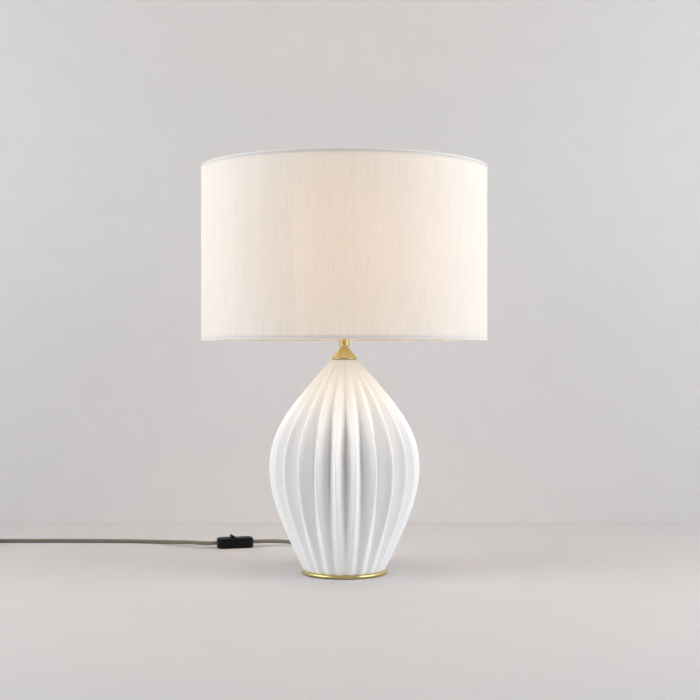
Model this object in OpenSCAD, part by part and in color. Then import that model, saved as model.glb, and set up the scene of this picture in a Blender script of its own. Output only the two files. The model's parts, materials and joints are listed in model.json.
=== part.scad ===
// Table lamp: pleated porcelain body on a brass plate, brass cone and neck, E27 lampholder,
// linen drum shade on a wire carrier, opal bulb, and a cord with an in-line rocker switch.
// Origin: centre of the underside. +Z up, the front faces -Y, +X is to the right.

/* [Shade] */
// Outside diameter of the drum
shade_d = 400; // [380:5:420]
// Height of the drum
shade_h = 240; // [220:5:260]
// Height of the drum's lower edge above the table
shade_z = 326.5; // [322:0.5:330]
// Thickness of the linen and of the liner behind it, each
cloth_t = 0.6; // [0.4:0.1:0.8]
// Diameter of the shade's wires
wire_d = 3; // [2.5:0.5:3.5]
// Number of arms on the carrier
arms = 3; // [3:1:4]

/* [Porcelain body] */
// Widest radius, over the pleats
belly_r = 105.5; // [103:0.5:108]
// Height of the widest section
belly_z = 148; // [144:1:152]
// Radius of the foot
foot_r = 57.5; // [56:0.5:58.5]
// Radius of the top rim
top_r = 17.5; // [17:0.5:18]
// Height of the top rim
top_z = 299.3; // [298:0.1:300]
// Number of pleats round the body
pleats = 24; // [20:1:28]
// Depth of the pleats where they are deepest
pleat_depth = 22; // [16:1:24]
// Thinnest wall
wall = 4; // [3:0.5:5]

/* [Base] */
// Radius of the brass plate
plate_r = 60.5; // [60:0.5:62]
// Thickness of the brass plate
plate_t = 4.4; // [4:0.2:5]

/* [Neck and lampholder] */
// Radius of the brass neck
neck_r = 7.4; // [7:0.1:8]
// Height of the brass cone
cone_h = 15; // [14:0.5:16]
// Radius of the lampholder's shell
holder_r = 19.8; // [19.5:0.1:20]

/* [Bulb] */
// Radius of the opal globe
globe_r = 30; // [28:0.5:32]

/* [Cord and switch] */
// Diameter of the cord
cord_d = 6; // [5.5:0.5:6]
// Length of the switch
switch_l = 56.5; // [55:0.5:58]
// Width of the switch
switch_w = 26; // [25:1:28]
// Height of the switch
switch_h = 16; // [16:0.5:17]
// Tilt of the rocker each way from level
rocker_tilt = 18; // [16:1:18]

/* [Hidden] */
$fn = 96;

felt_t = 1.2;
felt_r = plate_r - 5.5;
plate_z = 0.8;
plate_top = plate_z + plate_t;
rod_r = 5;
rod_bore_r = 3.6;
rod_hole_r = 5.1;
washer_t = 1;
cone_z = top_z + washer_t;
neck_z = cone_z + cone_h;
neck_h = 18;
holder_z = neck_z + neck_h;
shell_z = holder_z + 21;
shell_top = shell_z + 44;
shoulder_z = shell_z + 14;
shoulder_t = 2.5;
hub_z = shoulder_z + shoulder_t + 0.05;
hub_t = 2;
contact_z = shell_z + 13;
insert_z = shell_z + 0.8;
cord_r = cord_d / 2;
bush_z = 15;
bush_y = 66.6;
shade_r = shade_d / 2;
tape_t = 0.4;
wire_ring_r = shade_r - 2 * cloth_t - tape_t - wire_d / 2 - 0.08;
bottom_wire_z = shade_z + 3;
top_wire_z = shade_z + shade_h - 3;

// Cubic Bezier curve at t
function bezier(a, b, c, d, t) =
    pow(1 - t, 3) * a + 3 * pow(1 - t, 2) * t * b + 3 * (1 - t) * t * t * c + pow(t, 3) * d;

// Outline over the pleats as [radius, height]: lower part to the belly, then upper part to the rim
foot = [foot_r, plate_top];
belly = [belly_r, belly_z];
rim = [top_r, top_z];
function lower_outline(t) = bezier(foot, foot + [22.6, 48], belly - [0, 46], belly, t);
function upper_outline(t) = bezier(belly, belly + [0, 50], rim + [65, -70], rim, t);

// Depth of the pleats at height z, and their wave round the body: 0 on a ridge, 1 in a valley
function depth_at(z) = pleat_depth * exp(-pow((z - 165) / (z < 165 ? 104 : 72), 2));
pleat_phase = 9;
ridge_sharpness = 0.9;
function wave(a) =
    0.5 - asin(ridge_sharpness * cos(pleats * (a - pleat_phase))) / (2 * asin(ridge_sharpness));

// Outer and inner radius of the wall; the inner pleats are half as deep
function outer_at(p, a) = p[0] - depth_at(p[1]) * wave(a);
function inner_at(p, a) =
    max(rod_hole_r + 3, p[0] - wall - depth_at(p[1]) * (0.5 + 0.5 * wave(a)));

steps_a = 6 * pleats;
outer_rings = concat(
    [for (t = [0 : 1 / 8 : 1]) lower_outline(t)],
    [for (t = [1 / 9 : 1 / 9 : 1.001]) upper_outline(min(t, 1))]
);
inner_rings = [for (i = [0 : 2 : len(outer_rings) - 1]) outer_rings[i]];
inner_points = concat(inner_rings, [rim]);

function ring_point(r, a, z) = [r * cos(a), r * sin(a), z];

// Route of the cord from the bush to the switch, then from the switch to the coil, on the table
floor_z = cord_r + 0.1;
split_z = 8.2;
lamp_route = [
    [0, 90, bush_z], [0, 96, bush_z], [0, 108, 14], [0, 120, 11.8], [-0.5, 133, 8.5],
    [-1.5, 146, 5.5], [-3, 159, 3.6], [-5.5, 173, floor_z], [-9, 187, floor_z],
    [-15, 202, floor_z], [-23, 217, floor_z], [-33, 232, floor_z], [-46, 246, floor_z],
    [-61, 258.5, 3.3], [-78, 265, 4.5], [-95, 265.5, 6.1], [-111, 261.6, 7.3],
    [-125, 257, 8], [-137.5, 252.8, split_z], [-151.8, 248.9, split_z]
];
plug_route = [
    [-196.2, 237.1, split_z], [-210.5, 233.2, split_z], [-222, 234.3, 8.1],
    [-233, 239.5, 7.9], [-244, 247.5, 7.3], [-256, 257.5, 6.3], [-270, 267.5, 5.1],
    [-286, 276.5, 4.1], [-303, 284, 3.4], [-321, 289, floor_z], [-340, 292, floor_z],
    [-360, 294, floor_z], [-380, 295.2, floor_z], [-400, 296, floor_z],
    [-422, 296.6, floor_z], [-444, 297, floor_z], [-466, 297, floor_z],
    [-488, 297, floor_z], [-510, 297, floor_z], [-531, 297, floor_z],
    [-551, 297, floor_z], [-566, 297, 3.5], [-578.5, 297, 3.9]
];
tail_route = [
    [-641.2, 232.5, 8.4], [-641.1, 227, 7.7], [-641, 221.5, 7.1], [-641, 213.2, 7]
];
inner_route = [
    [0, 90, bush_z], [0, 50, bush_z], [0, 40, 16.2], [0, 30, 19.5], [0, 19, 26],
    [0, 10, 35], [0, 3.6, 45], [0, 0.4, 55], [0, 0, 66], [0, 0, 120], [0, 0, 200],
    [0, 0, 280], [0, 0, holder_z + 7.6]
];
coil_centre = [-602, 257, 0];
coil_r = 32.3;
coil_half_w = 11;
coil_h = 12.2;
tie_t = 0.8;

switch_centre = [-174, 243, 0];
switch_corner = 9;
switch_turn = 15;
rocker_z = 12.8;
rocker_l = 18;
rocker_w = 9;
pin_r = 1;

plug_centre = [-641, 219, 7];
plug_w = 35;
plug_t = 13.6;
plug_l = 36;
sleeve_l = 22;

// Closed tube along a list of points; up is a direction that the route never runs along
module tube(route, r, up = [0, 0, 1], sides = 8) {
    last = len(route) - 1;
    points = [
        for (i = [0 : last])
            let (
                ahead = route[min(i + 1, last)] - route[max(i - 1, 0)],
                along = ahead / norm(ahead),
                side = cross(along, up) / norm(cross(along, up)),
                over = cross(side, along)
            )
            for (k = [0 : sides - 1])
                route[i] + r * (cos(360 * k / sides) * side + sin(360 * k / sides) * over)
    ];
    walls = [
        for (i = [0 : last - 1])
            for (k = [0 : sides - 1])
                let (
                    a = i * sides + k,
                    b = i * sides + (k + 1) % sides
                )
                each [[a, a + sides, b], [b, a + sides, b + sides]]
    ];
    near_end = [[for (k = [0 : sides - 1]) k]];
    far_end = [[for (k = [sides - 1 : -1 : 0]) last * sides + k]];
    polyhedron(points, concat(walls, near_end, far_end), convexity = 6);
}

// Ring of rectangular section
module ring(r_out, r_in, z, h) {
    translate([0, 0, z])
        difference() {
            cylinder(r = r_out, h = h);
            translate([0, 0, -1])
                cylinder(r = r_in, h = h + 2);
        }
}

// Rectangle with round corners, centred
module round_rect(l, w, r) {
    square([l - 2 * r, w], center = true);
    square([l, w - 2 * r], center = true);
    for (x = [-1, 1], y = [-1, 1])
        translate([x * (l / 2 - r), y * (w / 2 - r)])
            circle(r = r);
}

module wire_ring(z) {
    translate([0, 0, z])
        rotate_extrude()
            translate([wire_ring_r, 0])
                circle(d = wire_d, $fn = 32);
}

module at_switch() {
    translate(switch_centre)
        rotate([0, 0, switch_turn])
            children();
}

module base_felt() {
    color("dimgray")
        cylinder(r = felt_r, h = felt_t);
}

module base_plate() {
    edge_r = plate_t / 2;
    color("goldenrod")
        difference() {
            union() {
                translate([0, 0, plate_z])
                    rotate_extrude() {
                        square([plate_r - edge_r, plate_t]);
                        translate([plate_r - edge_r, edge_r])
                            intersection() {
                                circle(r = edge_r);
                                translate([-0.1, -edge_r])
                                    square([edge_r + 0.1, plate_t]);
                            }
                    }
                translate([0, 0, plate_top - 1])
                    cylinder(r = 11, h = 13);
                ring(47, 44, plate_top - 1, 4);
            }
            translate([0, 0, -1])
                cylinder(r = felt_r + 0.3, h = felt_t + 1);
            translate([0, 0, -1])
                cylinder(r = rod_r + 0.02, h = 30);
        }
}

module body() {
    n = steps_a;
    rings = concat(outer_rings, [for (i = [len(inner_points) - 1 : -1 : 0]) inner_points[i]]);
    outer_count = len(outer_rings);
    count = len(rings);
    points = [
        for (i = [0 : count - 1])
            for (k = [0 : n - 1])
                let (
                    a = 360 * k / n + pleat_phase,
                    p = rings[i],
                    r = i < outer_count ? outer_at(p, a) : inner_at(p, a)
                )
                ring_point(r, a, p[1])
    ];
    faces = [
        for (i = [0 : count - 1])
            for (k = [0 : n - 1])
                let (
                    a = i * n + k,
                    b = i * n + (k + 1) % n,
                    c = ((i + 1) % count) * n + k,
                    d = ((i + 1) % count) * n + (k + 1) % n
                )
                each [[a, c, b], [b, c, d]]
    ];
    color("white")
        difference() {
            polyhedron(points, faces, convexity = 10);
            translate([0, 40, bush_z])
                rotate([-90, 0, 0])
                    cylinder(r = 5.5, h = 40);
        }
}

module cord_bush() {
    color("black")
        translate([0, bush_y, bush_z])
            rotate([-90, 0, 0])
                difference() {
                    union() {
                        translate([0, 0, -14])
                            cylinder(r = 5.3, h = 15);
                        cylinder(r = 7.5, h = 2);
                        translate([0, 0, 1])
                            cylinder(r1 = 5.4, r2 = 4, h = 22.4);
                    }
                    translate([0, 0, -20])
                        cylinder(r = cord_r + 0.1, h = 60);
                }
}

module tie_rod() {
    window_z = 22;
    window_h = 36;
    color("silver")
        difference() {
            translate([0, 0, plate_top - 3])
                cylinder(r = rod_r, h = holder_z + 6 - plate_top + 3);
            cylinder(r = rod_bore_r, h = holder_z + 20);
            translate([-rod_r - 1, 0, window_z])
                cube([2 * rod_r + 2, rod_r + 1, window_h]);
        }
}

module rod_locknut() {
    color("silver")
        translate([0, 0, plate_top + 12])
            difference() {
                cylinder(r = 9.8, h = 3.5, $fn = 6);
                translate([0, 0, -1])
                    cylinder(r = rod_r + 0.02, h = 6);
            }
}

module top_washer() {
    color("dimgray")
        ring(16.4, rod_hole_r, top_z, washer_t);
}

module top_cone() {
    rim_h = 1.2;
    color("goldenrod")
        translate([0, 0, cone_z])
            difference() {
                union() {
                    cylinder(r = top_r, h = rim_h);
                    translate([0, 0, rim_h])
                        cylinder(r1 = top_r, r2 = 6.3, h = cone_h - rim_h);
                }
                translate([0, 0, -1])
                    cylinder(r = rod_hole_r, h = cone_h + 2);
                translate([0, 0, 1.2])
                    cylinder(r1 = 14.6, r2 = rod_hole_r, h = 10);
            }
}

module neck() {
    round_h = 4;
    color("goldenrod")
        translate([0, 0, neck_z])
            difference() {
                union() {
                    cylinder(r1 = 5.8, r2 = neck_r, h = round_h);
                    translate([0, 0, round_h])
                        cylinder(r = neck_r, h = neck_h - round_h);
                }
                translate([0, 0, -1])
                    cylinder(r = rod_hole_r, h = neck_h + 2);
            }
}

module holder_cap() {
    color("goldenrod")
        translate([0, 0, holder_z])
            difference() {
                union() {
                    cylinder(r1 = 10, r2 = holder_r + 0.6, h = 14);
                    translate([0, 0, 14])
                        cylinder(r = holder_r + 0.6, h = 7);
                }
                translate([0, 0, 2])
                    cylinder(r1 = 8.8, r2 = holder_r - 0.6, h = 12.01);
                translate([0, 0, 14])
                    cylinder(r = holder_r - 0.6, h = 8);
                translate([0, 0, -1])
                    cylinder(r = rod_hole_r, h = 5);
            }
}

module holder_locknut() {
    color("silver")
        translate([0, 0, holder_z + 2])
            difference() {
                cylinder(r = 8, h = 3, $fn = 6);
                translate([0, 0, -1])
                    cylinder(r = rod_r + 0.02, h = 5);
            }
}

module holder_shell() {
    color("goldenrod")
        difference() {
            union() {
                translate([0, 0, shell_z])
                    cylinder(r = holder_r, h = shell_top - shell_z);
                translate([0, 0, shoulder_z])
                    cylinder(r = 25, h = shoulder_t);
            }
            translate([0, 0, shell_z - 1])
                cylinder(r = 16.8, h = 5);
            translate([0, 0, insert_z])
                cylinder(r = 18.2, h = shell_top - shell_z + 2);
        }
}

module holder_insert() {
    floor_t = 11.2;
    color("ivory")
        translate([0, 0, insert_z])
            difference() {
                cylinder(r = 18.1, h = 37.2);
                translate([0, 0, floor_t])
                    cylinder(r = 14.7, h = 40);
                for (x = [-1, 1])
                    translate([x * 11, 0, -1])
                        cylinder(r = 1.9, h = 15, $fn = 32);
                translate([-2, -2, -1])
                    cube([4, 4, 15]);
            }
}

module screw_shell() {
    color("goldenrod")
        ring(14.6, 13.9, contact_z + 3, 22);
}

module centre_contact() {
    color("goldenrod")
        translate([0, 0, shell_z + 12]) {
            translate([-6, -3, 0])
                cube([12, 6, 0.8]);
            cylinder(r = 2.4, h = 2.4);
        }
}

module side_contact() {
    color("goldenrod")
        translate([8, -2, shell_z + 12]) {
            cube([5.2, 4, 0.8]);
            translate([4.6, 0, 0])
                cube([0.6, 4, 4.2]);
        }
}

module terminal_screws() {
    color("silver")
        for (x = [-1, 1])
            translate([x * 11, 0, insert_z]) {
                translate([0, 0, -1.6])
                    cylinder(r = 2.8, h = 1.6, $fn = 32);
                cylinder(r = 1.8, h = 10, $fn = 32);
            }
}

module lead_wires() {
    wire_r = 0.9;
    color("saddlebrown")
        for (s = [-1, 1])
            tube(
                [
                    [s, 0, holder_z + 8.1], [s * 1.6, 0, holder_z + 10], [s * 4, 0, holder_z + 13],
                    [s * 7, 0, holder_z + 15.4], [s * 9.6, 0, holder_z + 17],
                    [s * 11, 0, holder_z + 18.6], [s * 11, 0, insert_z - 1.7]
                ],
                wire_r,
                [0, 1, 0]
            );
}

module shade_ring() {
    color("goldenrod")
        ring(25, holder_r + 0.08, hub_z + hub_t + 0.3, 6.5);
}

module shade_linen() {
    color("linen")
        ring(shade_r, shade_r - cloth_t, shade_z, shade_h);
}

module shade_liner() {
    color("white")
        ring(shade_r - cloth_t, shade_r - 2 * cloth_t, shade_z, shade_h);
}

module shade_top_wire() {
    color("white")
        wire_ring(top_wire_z);
}

module shade_carrier() {
    hub_mid = hub_z + hub_t / 2;
    arm_start = 26.5;
    arm_d = wire_d - 0.4;
    reach = [wire_ring_r - 0.7 - arm_start, hub_mid - bottom_wire_z];
    color("white") {
        wire_ring(bottom_wire_z);
        ring(28, holder_r + 0.4, hub_z, hub_t);
        for (k = [0 : arms - 1])
            rotate([0, 0, 90 + 360 * k / arms])
                translate([arm_start, 0, hub_mid])
                    rotate([0, atan2(reach[0], -reach[1]), 0])
                        cylinder(d = arm_d, h = norm(reach), $fn = 32);
    }
}

// Hem folded over the edge of the linen and liner, short outside and long behind, where it holds
// the wire; side is 1 at the top edge, -1 at the bottom
module edge_trim(z, side) {
    outside_h = 1.6;
    inside_h = 4.5;
    inside_r = shade_r - 2 * cloth_t;
    translate([0, 0, z])
        scale([1, 1, side])
            rotate_extrude()
                polygon([
                    [inside_r - tape_t, -inside_h], [inside_r, -inside_h], [inside_r, 0],
                    [shade_r, 0], [shade_r, -outside_h], [shade_r + tape_t, -outside_h],
                    [shade_r + tape_t, tape_t], [inside_r - tape_t, tape_t]
                ]);
}

module shade_top_trim() {
    color("linen")
        edge_trim(shade_z + shade_h, 1);
}

module shade_bottom_trim() {
    color("linen")
        edge_trim(shade_z, -1);
}

globe_z = shell_z + 92;
globe_neck_z = shell_z + 50;

// Points up one side of the globe, in from its outer surface by inset
function globe_side(inset) = concat(
    [
        [14.6 - inset, globe_neck_z], [16.1 - inset, globe_neck_z + 8],
        [19.6 - inset, globe_neck_z + 17]
    ],
    [for (a = [-28 : 7.375 : 82]) [(globe_r - inset) * cos(a), globe_z + (globe_r - inset) * sin(a)]],
    [[0, globe_z + globe_r - inset]]
);

module bulb_globe() {
    outer = globe_side(0);
    inner = globe_side(1.2);
    color("white")
        rotate_extrude()
            polygon(concat(outer, [for (i = [len(inner) - 1 : -1 : 0]) inner[i]]));
}

module bulb_collar() {
    color("whitesmoke")
        translate([0, 0, shell_z + 38])
            difference() {
                cylinder(r1 = 13.4, r2 = 14.6, h = 12);
                translate([0, 0, -1])
                    cylinder(r = 11.5, h = 14);
            }
}

module bulb_board() {
    color("silver")
        translate([0, 0, globe_neck_z]) {
            cylinder(r = 12.5, h = 1.6);
            for (a = [0 : 60 : 300])
                rotate([0, 0, a])
                    translate([6, -1.5, 1.5])
                        cube([3, 3, 1.1]);
        }
}

module bulb_cap() {
    color("silver")
        translate([0, 0, contact_z + 5])
            difference() {
                cylinder(r = 13.2, h = 20);
                translate([0, 0, -1])
                    cylinder(r = 12.6, h = 22);
            }
}

module bulb_insulator() {
    color("black")
        translate([0, 0, contact_z + 2.6])
            cylinder(r1 = 5, r2 = 12.5, h = 3.4);
}

module bulb_contact() {
    color("silver")
        translate([0, 0, contact_z + 1.7])
            cylinder(r = 4.6, h = 0.9);
}

module inner_cord() {
    color("tan")
        tube(inner_route, cord_r, [1, 0, 0]);
}

module cord_lamp_side() {
    color("tan")
        tube(lamp_route, cord_r);
}

module cord_plug_side() {
    color("tan")
        tube(plug_route, cord_r);
}

module cord_tail() {
    color("tan")
        tube(tail_route, cord_r);
}

module cord_coil() {
    color("tan")
        translate(coil_centre)
            rotate_extrude()
                translate([coil_r, tie_t + coil_h / 2])
                    round_rect(2 * coil_half_w, coil_h, 3);
}

module coil_tie() {
    tie_w = 5;
    gap = 0.2;
    color("black")
        translate(coil_centre + [-coil_r, tie_w / 2, tie_t + coil_h / 2])
            rotate([90, 0, 0])
                linear_extrude(tie_w)
                    difference() {
                        round_rect(2 * (coil_half_w + gap + tie_t), coil_h + 2 * tie_t, 3);
                        round_rect(2 * (coil_half_w + gap), coil_h, 3);
                    }
}

// Half of the switch casing from z0 to z1 with a hollow and the cord's entry at each end
module switch_half(z0, z1, hollow_z0, hollow_z1) {
    difference() {
        translate([0, 0, z0])
            linear_extrude(z1 - z0)
                round_rect(switch_l, switch_w, switch_corner);
        translate([0, 0, hollow_z0])
            linear_extrude(hollow_z1 - hollow_z0)
                round_rect(switch_l - 6, switch_w - 5, switch_corner - 3);
        rotate([0, 90, 0])
            translate([-split_z, 0, -switch_l])
                cylinder(r = cord_r + 0.15, h = 2 * switch_l);
        for (s = [-1, 1])
            translate([s * 22, -s * 8, -1])
                cylinder(r = 1.25, h = split_z + 7, $fn = 32);
    }
}

module switch_screw_posts(z0, z1) {
    for (s = [-1, 1])
        translate([s * 22, -s * 8, z0])
            difference() {
                cylinder(r = 3, h = z1 - z0, $fn = 32);
                translate([0, 0, -1])
                    cylinder(r = 1.25, h = z1 - z0 + 2, $fn = 32);
            }
}

module switch_lower() {
    color("black")
        at_switch()
            difference() {
                union() {
                    switch_half(0, split_z, 2, split_z + 1);
                    switch_screw_posts(1.9, split_z);
                }
                for (s = [-1, 1])
                    translate([s * 22, -s * 8, -1])
                        cylinder(r = 2.6, h = 2.4, $fn = 32);
            }
}

module switch_upper() {
    color("black")
        at_switch()
            difference() {
                union() {
                    switch_half(split_z, switch_h, split_z - 1, switch_h - 2);
                    switch_screw_posts(split_z, switch_h - 1.9);
                    for (s = [-1, 1])
                        translate([-3, s * 7.1 - 1.5, rocker_z - 2.4])
                            cube([6, 3, switch_h - rocker_z + 0.5]);
                }
                translate([-rocker_l / 2 - 2.3, -rocker_w / 2 - 0.5, split_z])
                    cube([rocker_l + 4.6, rocker_w + 1, switch_h]);
                translate([0, 20, rocker_z])
                    rotate([90, 0, 0])
                        cylinder(r = pin_r + 0.01, h = 40, $fn = 32);
            }
}

module switch_rocker() {
    half = rocker_l / 2;
    color("black")
        at_switch()
            translate([0, 0, rocker_z])
                rotate([0, rocker_tilt, 0])
                    difference() {
                        rotate([90, 0, 0])
                            translate([0, 0, -rocker_w / 2])
                                linear_extrude(rocker_w)
                                    polygon([
                                        [-half, -0.6], [-3, -3.4], [3, -3.4], [half, -0.6],
                                        [half, 6.5], [0, 4.2], [-half, 6.5]
                                    ]);
                        translate([0, 20, 0])
                            rotate([90, 0, 0])
                                cylinder(r = pin_r + 0.05, h = 40, $fn = 32);
                    }
}

module rocker_pin() {
    color("silver")
        at_switch()
            translate([0, 8.4, rocker_z])
                rotate([90, 0, 0])
                    cylinder(r = pin_r, h = 16.8, $fn = 32);
}

module switch_contacts() {
    color("goldenrod")
        at_switch()
            for (s = [-1, 1])
                translate([s * 12 - 4, s * 6 - 2, 2]) {
                    cube([8, 4, 0.8]);
                    translate([s > 0 ? 0 : 7.2, 0, 0])
                        cube([0.8, 4, 5]);
                }
}

module switch_screws() {
    color("silver")
        at_switch()
            for (s = [-1, 1])
                translate([s * 22, -s * 8, 0.3]) {
                    cylinder(r = 2.4, h = 1.1, $fn = 32);
                    cylinder(r = 1.2, h = 13, $fn = 32);
                }
}

// The plug lies flat, with its pins towards -Y
module plug_sleeve() {
    color("black")
        translate(plug_centre)
            rotate([90, 0, 0])
                difference() {
                    cylinder(r1 = 4, r2 = 6, h = sleeve_l);
                    translate([0, 0, -1])
                        cylinder(r = cord_r + 0.1, h = 7);
                }
}

module plug_body() {
    color("black")
        translate(plug_centre + [0, -sleeve_l, 0])
            rotate([90, 0, 0])
                linear_extrude(plug_l)
                    round_rect(plug_w, plug_t, 5);
}

module plug_pins() {
    color("silver")
        translate(plug_centre + [0, -sleeve_l - plug_l, 0])
            rotate([90, 0, 0])
                for (s = [-1, 1])
                    translate([s * 9.3, 0, 0]) {
                        cylinder(r = 2, h = 17.5, $fn = 32);
                        translate([0, 0, 17.5])
                            cylinder(r1 = 2, r2 = 1.2, h = 1.5, $fn = 32);
                    }
}

base_felt();
base_plate();
body();
cord_bush();
tie_rod();
rod_locknut();
top_washer();
top_cone();
neck();
holder_cap();
holder_locknut();
holder_shell();
holder_insert();
screw_shell();
centre_contact();
side_contact();
terminal_screws();
lead_wires();
shade_ring();
shade_linen();
shade_liner();
shade_top_wire();
shade_carrier();
shade_top_trim();
shade_bottom_trim();
bulb_globe();
bulb_collar();
bulb_board();
bulb_cap();
bulb_insulator();
bulb_contact();
inner_cord();
cord_lamp_side();
cord_plug_side();
cord_coil();
cord_tail();
coil_tie();
switch_lower();
switch_upper();
switch_rocker();
rocker_pin();
switch_contacts();
switch_screws();
plug_sleeve();
plug_body();
plug_pins();
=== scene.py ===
"""Table lamp with a pleated porcelain body and a linen drum shade, in a plain studio."""
import json
import math

import bmesh
import bpy
from mathutils import Matrix, Vector


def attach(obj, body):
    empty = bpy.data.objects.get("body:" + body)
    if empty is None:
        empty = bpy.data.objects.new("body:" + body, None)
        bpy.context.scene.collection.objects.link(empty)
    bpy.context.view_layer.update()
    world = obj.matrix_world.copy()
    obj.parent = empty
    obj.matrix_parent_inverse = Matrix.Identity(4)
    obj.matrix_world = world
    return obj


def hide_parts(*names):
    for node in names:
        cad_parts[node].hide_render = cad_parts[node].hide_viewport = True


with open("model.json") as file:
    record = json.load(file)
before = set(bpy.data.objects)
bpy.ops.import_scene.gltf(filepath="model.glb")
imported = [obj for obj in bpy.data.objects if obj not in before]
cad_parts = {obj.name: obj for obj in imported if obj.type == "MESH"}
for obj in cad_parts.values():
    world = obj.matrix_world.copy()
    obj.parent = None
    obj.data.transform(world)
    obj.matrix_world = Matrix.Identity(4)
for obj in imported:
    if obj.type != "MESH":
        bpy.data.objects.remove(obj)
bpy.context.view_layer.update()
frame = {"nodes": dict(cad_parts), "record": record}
scene = bpy.context.scene
N = frame["nodes"]


# ---------------------------------------------------------------- materials
class Mat:
    """A material with its principled shader, and short ways to add nodes."""

    def __init__(self, name, color=(0.8, 0.8, 0.8), rough=0.5, metal=0.0, **inputs):
        self.m = bpy.data.materials.new(name)
        self.m.use_nodes = True
        self.t = self.m.node_tree
        self.b = self.t.nodes["Principled BSDF"]
        self.out = self.t.nodes["Material Output"]
        self.set(self.b, base_color=(*color, 1), roughness=rough, metallic=metal, **inputs)

    def set(self, node, **values):
        for key, value in values.items():
            node.inputs[key.replace("_", " ").title().replace("Ior", "IOR")].default_value = value

    def add(self, kind, **props):
        node = self.t.nodes.new(kind)
        for key, value in props.items():
            setattr(node, key, value)
        return node

    def link(self, a, b):
        self.t.links.new(a, b)
        return self

    def coords(self, scale=(1, 1, 1), kind="Object"):
        tc = self.add("ShaderNodeTexCoord")
        mp = self.add("ShaderNodeMapping")
        mp.inputs["Scale"].default_value = scale
        self.link(tc.outputs[kind], mp.inputs["Vector"])
        return mp.outputs["Vector"]

    def noise(self, scale, detail=3.0, vector=None):
        n = self.add("ShaderNodeTexNoise")
        n.inputs["Scale"].default_value = scale
        n.inputs["Detail"].default_value = detail
        self.link(vector or self.coords(), n.inputs["Vector"])
        return n.outputs["Fac"]

    def ramp(self, fac, low, high, a=0.3, b=0.7):
        """Maps fac from a..b to the colours or values low..high."""
        r = self.add("ShaderNodeValToRGB")
        to4 = lambda c: (c, c, c, 1) if isinstance(c, (int, float)) else (*c, 1)
        r.color_ramp.elements[0].position, r.color_ramp.elements[0].color = a, to4(low)
        r.color_ramp.elements[1].position, r.color_ramp.elements[1].color = b, to4(high)
        self.link(fac, r.inputs["Fac"])
        return r.outputs["Color"]

    def math(self, op, a, b=None):
        n = self.add("ShaderNodeMath", operation=op)
        for i, v in enumerate((a, b)):
            if v is None:
                continue
            if isinstance(v, (int, float)):
                n.inputs[i].default_value = v
            else:
                self.link(v, n.inputs[i])
        return n.outputs["Value"]

    def bump(self, height, strength, distance, normal=None):
        n = self.add("ShaderNodeBump")
        n.inputs["Strength"].default_value = strength
        n.inputs["Distance"].default_value = distance
        self.link(height, n.inputs["Height"])
        if normal is not None:
            self.link(normal, n.inputs["Normal"])
        self.link(n.outputs["Normal"], self.b.inputs["Normal"])

    def round_edges(self, radius):
        """Shades the edges as if they were rounded, for moulded and turned pieces."""
        n = self.add("ShaderNodeBevel", samples=6)
        n.inputs["Radius"].default_value = radius
        return n.outputs["Normal"]


def worn(name, color, rough, metal=0.0, spread=0.04, grain=700, bump=0.04, depth=0.0002,
         edge=0.0, stretch=(1, 1, 1), **inputs):
    """A plain finish whose tone, gloss and surface vary a little."""
    m = Mat(name, color, rough, metal, **inputs)
    tone = m.noise(18, 4)
    low = tuple(max(0, c * (1 - spread)) for c in color)
    high = tuple(min(1, c * (1 + spread)) for c in color)
    m.link(m.ramp(tone, low, high), m.b.inputs["Base Color"])
    m.link(m.ramp(m.noise(60, 3), max(0.02, rough - 0.06), min(1, rough + 0.06)),
           m.b.inputs["Roughness"])
    fine = m.noise(grain, 2, m.coords(stretch))
    m.bump(fine, bump, depth, m.round_edges(edge) if edge else None)
    return m.m


def cloth_material(name, color, through, weave, streak, fine):
    """Thin cloth on a drum, which reflects color and scatters the colour through to its other side.
    u runs round it and v up it, both in metres."""
    m = Mat(name)
    uv = m.coords((1, 1, 1), "UV")

    def threads(scale, detail, contrast, seed):
        mp = m.add("ShaderNodeMapping")
        mp.inputs["Scale"].default_value = scale
        mp.inputs["Location"].default_value = (seed, seed * 2, 0)
        m.link(uv, mp.inputs["Vector"])
        return m.ramp(m.noise(1, detail, mp.outputs["Vector"]), 1 - contrast, 1)

    upright = threads((1300, 25, 1), 2, fine, 1)
    across = threads((25, 1300, 1), 2, fine / 2, 5)
    slubs = threads((260, 3, 1), 3, streak, 9)
    both = m.math("MULTIPLY", m.math("MULTIPLY", upright, across), slubs)

    def tinted(tint):
        mix = m.add("ShaderNodeMix", data_type="RGBA", blend_type="MULTIPLY")
        mix.inputs["Factor"].default_value = 1
        mix.inputs["A"].default_value = (*tint, 1)
        m.link(both, mix.inputs["B"])
        return mix.outputs["Result"]

    bump = m.add("ShaderNodeBump")
    bump.inputs["Strength"].default_value = weave
    bump.inputs["Distance"].default_value = 0.0003
    m.link(both, bump.inputs["Height"])
    front = m.add("ShaderNodeBsdfDiffuse")
    m.link(tinted(color), front.inputs["Color"])
    m.link(bump.outputs["Normal"], front.inputs["Normal"])
    back = m.add("ShaderNodeBsdfTranslucent")
    m.link(tinted(through), back.inputs["Color"])
    total = m.add("ShaderNodeAddShader")
    m.link(front.outputs[0], total.inputs[0]).link(back.outputs[0], total.inputs[1])
    m.t.nodes.remove(m.b)
    m.link(total.outputs[0], m.out.inputs["Surface"])
    return m.m


def glow_material(name, color, strength):
    m = Mat(name, (0.9, 0.9, 0.88), 0.35)
    m.set(m.b, emission_color=(*color, 1))
    patch = m.noise(6, 2)
    m.link(m.ramp(patch, strength * 0.96, strength * 1.04), m.b.inputs["Emission Strength"])
    m.bump(m.noise(900, 2), 0.02, 0.0001)
    return m.m


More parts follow.
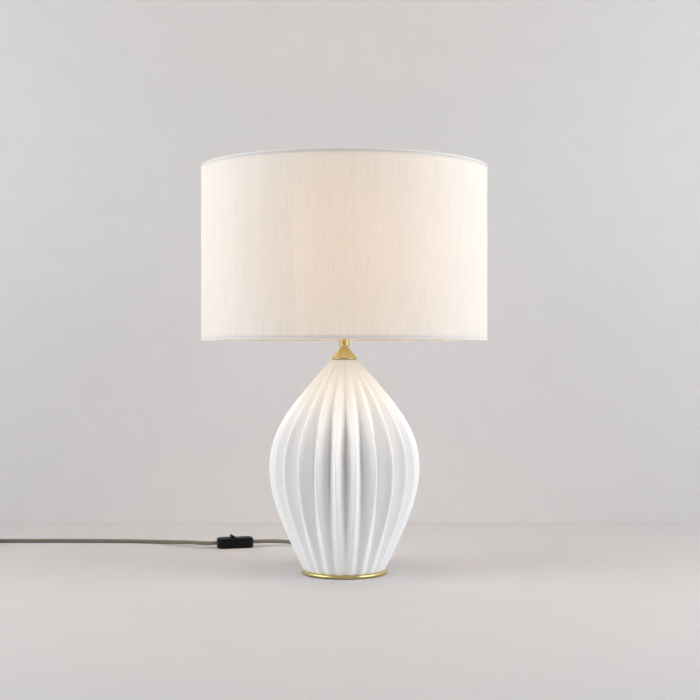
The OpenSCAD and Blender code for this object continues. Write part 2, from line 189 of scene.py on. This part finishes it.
def braid_material(name, color):
    """Two sets of threads crossing round the cord; u is round it and v along it, in diameters."""
    threads_round, lay_rate = 10, 16.0
    m = Mat(name, color, 0.85)
    uv = m.coords((1, 1, 1), "UV")
    sep = m.add("ShaderNodeSeparateXYZ")
    m.link(uv, sep.inputs["Vector"])
    u, v = sep.outputs["X"], sep.outputs["Y"]

    def lay(sign):
        round_it = m.math("MULTIPLY", u, threads_round * 2 * math.pi * sign)
        return m.math("SINE", m.math("ADD", round_it, m.math("MULTIPLY", v, lay_rate)))

    one, two = lay(1), lay(-1)
    weave = m.math("MULTIPLY", one, two)
    height = m.math("ADD", m.math("MULTIPLY", weave, 0.5), 0.5)
    # The braid's colour is painted darker in the low parts of the weave and lighter on its crests:
    # painted shade in the hollows and painted highlight on the crests.
    painted_shade = tuple(c * 0.45 for c in color)
    painted_highlight = tuple(min(1, c * 1.5) for c in color)
    tone = m.ramp(height, painted_shade, painted_highlight, 0.1, 0.9)
    speck = m.ramp(m.noise(900, 2), 0.7, 1.0)
    mix = m.add("ShaderNodeMix", data_type="RGBA", blend_type="MULTIPLY")
    mix.inputs["Factor"].default_value = 1
    m.link(tone, mix.inputs["A"]).link(speck, mix.inputs["B"])
    m.link(mix.outputs["Result"], m.b.inputs["Base Color"])
    m.bump(height, 0.7, 0.0006)
    return m.m


def porcelain_material():
    m = Mat("bone china", (0.93, 0.925, 0.915), 0.3, specular_ior_level=0.35)
    cloudy = m.ramp(m.noise(9, 3), (0.93, 0.925, 0.925), (0.94, 0.935, 0.935))
    m.link(cloudy, m.b.inputs["Base Color"])
    m.link(m.ramp(m.noise(30, 2), 0.30, 0.36), m.b.inputs["Roughness"])
    m.bump(m.noise(25, 1), 0.02, 0.001)
    return m.m


finish = {
    "felt": worn("felt", (0.05, 0.05, 0.05), 0.95, spread=0.3, grain=900, bump=0.6, depth=0.0006),
    "brass": worn("satin brass", (0.73, 0.585, 0.26), 0.30, 1.0, spread=0.03, grain=250, bump=0.05,
                  depth=0.0001, edge=0.0006, stretch=(1, 1, 14)),
    "black_rubber": worn("soft black plastic", (0.012, 0.012, 0.013), 0.55, grain=900, bump=0.05,
                         edge=0.0005),
    "steel": worn("zinc plate", (0.62, 0.62, 0.60), 0.35, 1.0, spread=0.08, grain=300),
    "ceramic": worn("white ceramic", (0.82, 0.81, 0.77), 0.45, grain=600, bump=0.08, edge=0.0005),
    "contact_brass": worn("bare brass", (0.80, 0.62, 0.30), 0.28, 1.0, spread=0.08, edge=0.0002),
    "white_wire": worn("white powder coat", (0.80, 0.79, 0.77), 0.45, grain=1400, bump=0.12),
    "trim": worn("folded linen", (0.84, 0.79, 0.74), 0.9, spread=0.03, grain=1500, bump=0.5,
                 depth=0.0004, stretch=(1, 1, 0.4)),
    "white_plastic": worn("white plastic", (0.82, 0.82, 0.80), 0.4, grain=900, edge=0.0004),
    "aluminium": worn("aluminium", (0.75, 0.75, 0.76), 0.35, 1.0),
    "nickel": worn("nickel plate", (0.70, 0.68, 0.64), 0.18, 1.0, spread=0.03, edge=0.0003),
    "black_plastic": worn("black plastic", (0.004, 0.004, 0.0045), 0.5, grain=1100, bump=0.06,
                          edge=0.0016, specular_ior_level=0.14),
    "rocker_plastic": worn("polished black plastic", (0.005, 0.005, 0.0055), 0.25, grain=500,
                           bump=0.02, edge=0.0008, specular_ior_level=0.3),
    "opal": glow_material("opal glass, lit", (1.0, 0.66, 0.34), 34.0),
    "porcelain": porcelain_material(),
    "braid": braid_material("khaki cotton braid", (0.25, 0.215, 0.165)),
    "linen": cloth_material("linen", (0.68, 0.685, 0.69), (0.30, 0.245, 0.165),
                            0.25, 0.03, 0.08),
    "liner": cloth_material("white liner", (0.24, 0.24, 0.235), (0.70, 0.67, 0.61),
                            0.1, 0.01, 0.02),
    "brown_sleeve": worn("brown insulation", (0.16, 0.06, 0.03), 0.4),
}
node_slot = {s["node"]: s["material_slot"] for s in frame["record"]["subparts"]}
for node, obj in N.items():
    obj.data.materials.clear()
    obj.data.materials.append(finish[node_slot[node]])
N["rocker_pin"].data.materials[0] = finish["black_plastic"]


# ---------------------------------------------------------------- camera
cam_data = bpy.data.cameras.new("camera")
cam_data.lens = 69.8
cam_data.sensor_width = 36
cam = bpy.data.objects.new("camera", cam_data)
scene.collection.objects.link(cam)
cam.location = (0.008, -1.905, 0.3125)
cam.rotation_euler = (math.radians(90), 0, 0)
scene.camera = cam


# ---------------------------------------------------------------- mesh helpers
def new_mesh(name, verts, faces, material, smooth=True, uvs=None):
    me = bpy.data.meshes.new(name)
    me.from_pydata(verts, [], faces)
    if uvs is not None:
        layer = me.uv_layers.new(name="UVMap")
        for loop in me.loops:
            layer.data[loop.index].uv = uvs[loop.vertex_index]
    me.polygons.foreach_set("use_smooth", [smooth] * len(me.polygons))
    me.materials.append(material)
    me.update()
    ob = bpy.data.objects.new(name, me)
    scene.collection.objects.link(ob)
    return ob


def bezier(p, t):
    a, b, c, d = p
    s = 1 - t
    return tuple(s**3 * a[i] + 3 * s * s * t * b[i] + 3 * s * t * t * c[i] + t**3 * d[i]
                 for i in (0, 1))


# ---------------------------------------------------------------- porcelain body
# In millimetres and degrees. The profile runs along the ridges, as (radius, height).
PLEATS, PHASE, SHARP = 24, 9.0, 0.9
FOOT, BELLY, MOUTH = (57.5, 5.2), (105.5, 148.0), (17.5, 299.3)
LOWER = (FOOT, (80.1, 53.2), (105.5, 102.0), BELLY)
UPPER = (BELLY, (105.5, 198.0), (82.5, 229.3), MOUTH)
WALL, LIP, ROD_WAY = 4, 0.9, 8.1
PLEAT_DEPTH, DEEPEST, FADE_BELOW, FADE_ABOVE = 22, 165, 104, 72


def pleat_depth(z):
    fade = FADE_BELOW if z < DEEPEST else FADE_ABOVE
    return PLEAT_DEPTH * math.exp(-(((z - DEEPEST) / fade) ** 2))


def wave(angle):
    """0 on a ridge and 1 in a valley: SHARP near 1 makes the ridges narrow."""
    k = math.cos(math.radians(PLEATS * (angle - PHASE)))
    return 0.5 - math.asin(SHARP * k) / (2 * math.asin(SHARP))


def body_mesh():
    """The outside from foot to mouth, then the inside back down in fewer rows."""
    around, up = PLEATS * 20, 84
    profile = [bezier(LOWER, i / up) for i in range(up + 1)]
    profile += [bezier(UPPER, i / up) for i in range(1, up + 1)]
    outside = [(FOOT[0] - LIP, FOOT[1])] + profile + [(MOUTH[0] - LIP, MOUTH[1] + 0.05)]
    rows = [(False, p) for p in outside] + [(True, p) for p in profile[::8][::-1]]
    verts, faces = [], []
    for inside, (ridge, z) in rows:
        depth = pleat_depth(z)
        for k in range(around):
            angle = 360 * k / around + PHASE
            w = wave(angle)
            if inside:
                r = max(ROD_WAY, ridge - WALL - depth * (0.5 + 0.5 * w))
            else:
                r = ridge - depth * w
            a = math.radians(angle)
            verts.append((r * math.cos(a) / 1000, r * math.sin(a) / 1000, z / 1000))
    count = len(rows)
    for i in range(count):
        j = (i + 1) % count
        for k in range(around):
            n = (k + 1) % around
            faces.append((i * around + k, i * around + n, j * around + n, j * around + k))
    return verts, faces


body = new_mesh("porcelain_body", *body_mesh(), finish["porcelain"])
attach(body, "lamp")
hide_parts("body")


# ---------------------------------------------------------------- shade cloth
LINEN_R, LINER_R, SHADE_Z, SHADE_H = 0.1997, 0.1991, 0.3265, 0.24
LAP, LAP_STEP, RIPPLE = math.radians(4), 0.0002, 0.00006


def drum(name, radius, material, lap_step):
    """One layer of cloth round the drum, lapped at the back and very slightly uneven."""
    around, up = 360, 24
    verts, faces, uvs = [], [], []
    for i in range(up + 1):
        z = SHADE_Z + SHADE_H * i / up
        for k in range(around + 1):
            a = math.pi / 2 - LAP / 2 + (2 * math.pi + LAP) * k / around
            flatten = min(1, min(k, around - k) / 4)
            r = radius + (lap_step if k > around - 4 else 0.0)
            r += RIPPLE * math.sin(9 * a + 60 * z) * flatten
            verts.append((r * math.cos(a), r * math.sin(a), z))
            uvs.append((radius * a, z))
    row = around + 1
    for i in range(up):
        for k in range(around):
            faces.append((i * row + k, i * row + k + 1, (i + 1) * row + k + 1, (i + 1) * row + k))
    return new_mesh(name, verts, faces, material, uvs=uvs)


linen = drum("shade_cloth", LINEN_R, finish["linen"], LAP_STEP)
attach(linen, "shade")
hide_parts("shade_linen")
liner = drum("shade_lining", LINER_R, finish["liner"], 0)
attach(liner, "shade")
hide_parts("shade_liner")


# ---------------------------------------------------------------- switch casing
SWITCH, SWITCH_TURN = Vector((-0.174, 0.243, 0)), math.radians(15)
SCREW_X, SCREW_Y, SCREW_HOLE = 0.022, 0.008, 0.003
WELL_X, WELL_Y = 0.014, 0.008
CORNER = 0.6


def softened(name, node, level, width):
    """A copy of a half of the casing with its outer edge at the height level rounded over."""
    bm = bmesh.new()
    bm.from_mesh(N[node].data)
    bm.transform(N[node].matrix_world)
    bmesh.ops.remove_doubles(bm, verts=bm.verts, dist=1e-6)
    bmesh.ops.dissolve_limit(bm, angle_limit=math.radians(1), verts=bm.verts, edges=bm.edges)

    def outer(edge):
        for v in edge.verts:
            x, y, _ = Matrix.Rotation(-SWITCH_TURN, 3, "Z") @ (v.co - SWITCH)
            screw = min(math.hypot(x - s * SCREW_X, y + s * SCREW_Y) for s in (-1, 1))
            in_well = abs(x) < WELL_X and abs(y) < WELL_Y
            if abs(v.co.z - level) > 1e-5 or screw < SCREW_HOLE or in_well:
                return False
        return True

    rim = [e for e in bm.edges if outer(e) and e.is_manifold and e.calc_face_angle() > CORNER]
    bmesh.ops.bevel(bm, geom=rim, offset=width, offset_type="OFFSET", segments=5, profile=0.5,
                    affect="EDGES", clamp_overlap=True)
    me = bpy.data.meshes.new(name)
    bm.to_mesh(me)
    bm.free()
    me.materials.append(finish["black_plastic"])
    ob = bpy.data.objects.new(name, me)
    scene.collection.objects.link(ob)
    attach(ob, "lamp")
    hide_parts(node)
    return ob


casing = [softened("switch_casing_top", "switch_upper", 0.016, 0.0036),
          softened("switch_casing_base", "switch_lower", 0.0, 0.0018)]


# ---------------------------------------------------------------- cord
def smooth_path(points, step=0.002):
    """A curve through the points, which are in millimetres, sampled evenly in metres."""
    parts = 24
    p = [Vector(q) / 1000 for q in points]
    p = [p[0] * 2 - p[1]] + p + [p[-1] * 2 - p[-2]]
    dense = []
    for i in range(1, len(p) - 2):
        a, b, c, d = p[i - 1:i + 3]
        for s in range(parts):
            t = s / parts
            dense.append(0.5 * ((2 * b) + (c - a) * t + (2 * a - 5 * b + 4 * c - d) * t * t
                                + (3 * b - a - 3 * c + d) * t**3))
    dense.append(p[-2])
    out, left = [dense[0]], step
    for a, b in zip(dense, dense[1:]):
        seg = (b - a).length
        while seg > 1e-9 and left <= seg:
            a = a + (b - a) * (left / seg)
            out.append(a.copy())
            seg = (b - a).length
            left = step
        left -= seg
    return out


# The cord's centre line in millimetres, from inside the lamp to the coil. LIE is its height where
# it lies on the table, and CASING at the ends of the switch. Inside, it dips under the rocker.
LIE, CASING = 3.1, 8.2
route = [
    (0, 64, 15), (0, 78, 15), (0, 90, 15), (0, 99, 14.9), (0, 111, 13.8), (0, 122, 11.4),
    (-0.5, 134, 8.4), (-1.5, 146, 5.6), (-3, 159, 3.7), (-5.5, 173, LIE), (-9, 187, LIE),
    (-15, 202, LIE), (-23, 217, LIE), (-33, 232, LIE), (-46, 246, LIE), (-61, 258.5, 3.3),
    (-78, 265, 4.5), (-95, 265.5, 6.1), (-111, 261.6, 7.3), (-125, 257, 8),
    (-137.5, 252.8, CASING), (-151.8, 248.9, CASING), (-162.9, 246, 6), (-174, 243, 5.1),
    (-185.1, 240, 6), (-196.2, 237.1, CASING), (-210.5, 233.2, CASING), (-222, 234.3, 8.1),
    (-233, 239.5, 7.9),
    (-244, 247.5, 7.3), (-256, 257.5, 6.3), (-270, 267.5, 5.1), (-286, 276.5, 4.1),
    (-303, 284, 3.4), (-321, 289, LIE), (-340, 292, LIE), (-360, 294, LIE), (-380, 295.2, LIE),
    (-400, 296, LIE), (-422, 296.6, LIE), (-444, 297, LIE), (-466, 297, LIE), (-488, 297, LIE),
    (-510, 297, LIE), (-531, 297, LIE), (-551, 297, LIE), (-566, 297, 3.4), (-582, 297, 3.7),
]
COIL = (-602.0, 257.0)


def coil_points():
    """Turns that spiral in on the table and out again on top of them, in millimetres."""
    per_turn, turns = 24, 5.25
    outer, inner, pitch_in, pitch_out = 40.0, 24.6, 6.1, 6.15
    low, high = 3.9, 9.95
    early, climb, dwell = 0.02, 0.27, 0.4
    quick, quick_out, slow_rate = 0.7, 5.4, 7.5
    out = []
    first = (outer - inner) / pitch_in
    for i in range(int(turns * per_turn) + 1):
        n = i / per_turn
        if n < first:
            r, z = outer - pitch_in * n, low
        else:
            z = low + (high - low) * min(1, (n - first + early) / climb)
            m = max(0.0, n - first - dwell)
            whole, f = int(m), m - int(m)
            if f < quick:
                step = quick_out * f / quick
            else:
                step = min(pitch_out, quick_out + slow_rate * (f - quick))
            r = inner + pitch_out * whole + step
        a = math.radians(90) + 2 * math.pi * n
        out.append((COIL[0] + r * math.cos(a), COIL[1] + r * math.sin(a), z))
    return out


coil = coil_points()
tail = [(coil[-1][0], 245, 9.9), (-641.1, 235, 8.7), (-641, 221.5, 7.1), (-641, 213, 7)]
path = smooth_path(route + coil + tail)


def tube(name, line, radius, material, sides=16):
    """A closed tube along the line; u is round it, and v along it in diameters."""
    verts, faces, uvs = [], [], []
    side = Vector((1, 0, 0))
    length = 0.0
    for i, p in enumerate(line):
        along = (line[min(i + 1, len(line) - 1)] - line[max(i - 1, 0)]).normalized()
        side = (side - along * side.dot(along)).normalized()
        over = along.cross(side)
        if i:
            length += (p - line[i - 1]).length
        for k in range(sides + 1):
            a = 2 * math.pi * k / sides
            verts.append(p + radius * (math.cos(a) * side + math.sin(a) * over))
            uvs.append((k / sides, length / (2 * radius)))
    row = sides + 1
    for i in range(len(line) - 1):
        for k in range(sides):
            faces.append((i * row + k, i * row + k + 1, (i + 1) * row + k + 1, (i + 1) * row + k))
    faces.append(tuple(range(sides - 1, -1, -1)))
    last = (len(line) - 1) * row
    faces.append(tuple(last + k for k in range(sides)))
    return new_mesh(name, verts, faces, material, uvs=uvs)


cord = tube("cord", path, 0.003, finish["braid"])
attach(cord, "lamp")
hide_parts("cord_lamp_side", "cord_plug_side", "cord_coil", "cord_tail")


# ---------------------------------------------------------------- studio
def plane(name, corners, material):
    ob = new_mesh(name, corners, [(0, 1, 2, 3)], material, smooth=False)
    return ob


def one_way(material):
    """Lets a view from behind the wall see through it."""
    tree = material.node_tree
    end = next(n for n in tree.nodes if n.type == "OUTPUT_MATERIAL").inputs["Surface"]
    shader = end.links[0].from_socket
    mix = tree.nodes.new("ShaderNodeMixShader")
    behind = tree.nodes.new("ShaderNodeNewGeometry").outputs["Backfacing"]
    tree.links.new(behind, mix.inputs[0])
    tree.links.new(shader, mix.inputs[1])
    tree.links.new(tree.nodes.new("ShaderNodeBsdfTransparent").outputs[0], mix.inputs[2])
    tree.links.new(mix.outputs[0], end)
    return material


REACH, WALL_Y = 4, 0.56
paper = worn("studio paper", (0.64, 0.612, 0.60), 0.8, spread=0.01, grain=300, bump=0.02)
wall_paper = worn("studio wall", (0.64, 0.615, 0.605), 0.9, spread=0.01, grain=300, bump=0.02)
plane("floor", [(-REACH, -REACH, 0), (REACH, -REACH, 0), (REACH, REACH, 0), (-REACH, REACH, 0)],
      paper)
plane("wall", [(-REACH, WALL_Y, 0), (REACH, WALL_Y, 0), (REACH, WALL_Y, REACH),
               (-REACH, WALL_Y, REACH)], one_way(wall_paper))


def softbox(name, place, target, size, power, color=(1, 1, 1)):
    data = bpy.data.lights.new(name, "AREA")
    data.shape = "RECTANGLE"
    data.size, data.size_y = size
    data.energy = power
    data.color = color
    ob = bpy.data.objects.new(name, data)
    ob.location = place
    ob.rotation_euler = (Vector(target) - Vector(place)).to_track_quat("-Z", "Y").to_euler()
    scene.collection.objects.link(ob)


SIDE_SIZE, SIDE_TARGET, COOL = (1.5, 1.25), (0, -0.05, 0.3), (0.90, 0.95, 1.0)
softbox("left softbox", (-1.56, -0.6, 0.82), SIDE_TARGET, SIDE_SIZE, 22.8, COOL)
softbox("right softbox", (1.56, -0.6, 0.82), SIDE_TARGET, SIDE_SIZE, 25.4, COOL)
softbox("overhead", (0, -0.2, 2.6), (0, 0.1, 0), (2.4, 1.6), 9)

world = bpy.data.worlds.new("studio")
scene.world = world
world.use_nodes = True
world.node_tree.nodes["Background"].inputs["Color"].default_value = (1.0, 0.965, 0.925, 1)
world.node_tree.nodes["Background"].inputs["Strength"].default_value = 0.215

scene.view_settings.view_transform = "Standard"
scene.cycles.max_bounces = 8
scene.cycles.diffuse_bounces = 5
scene.cycles.transmission_bounces = 6
scene.cycles.sample_clamp_indirect = 6
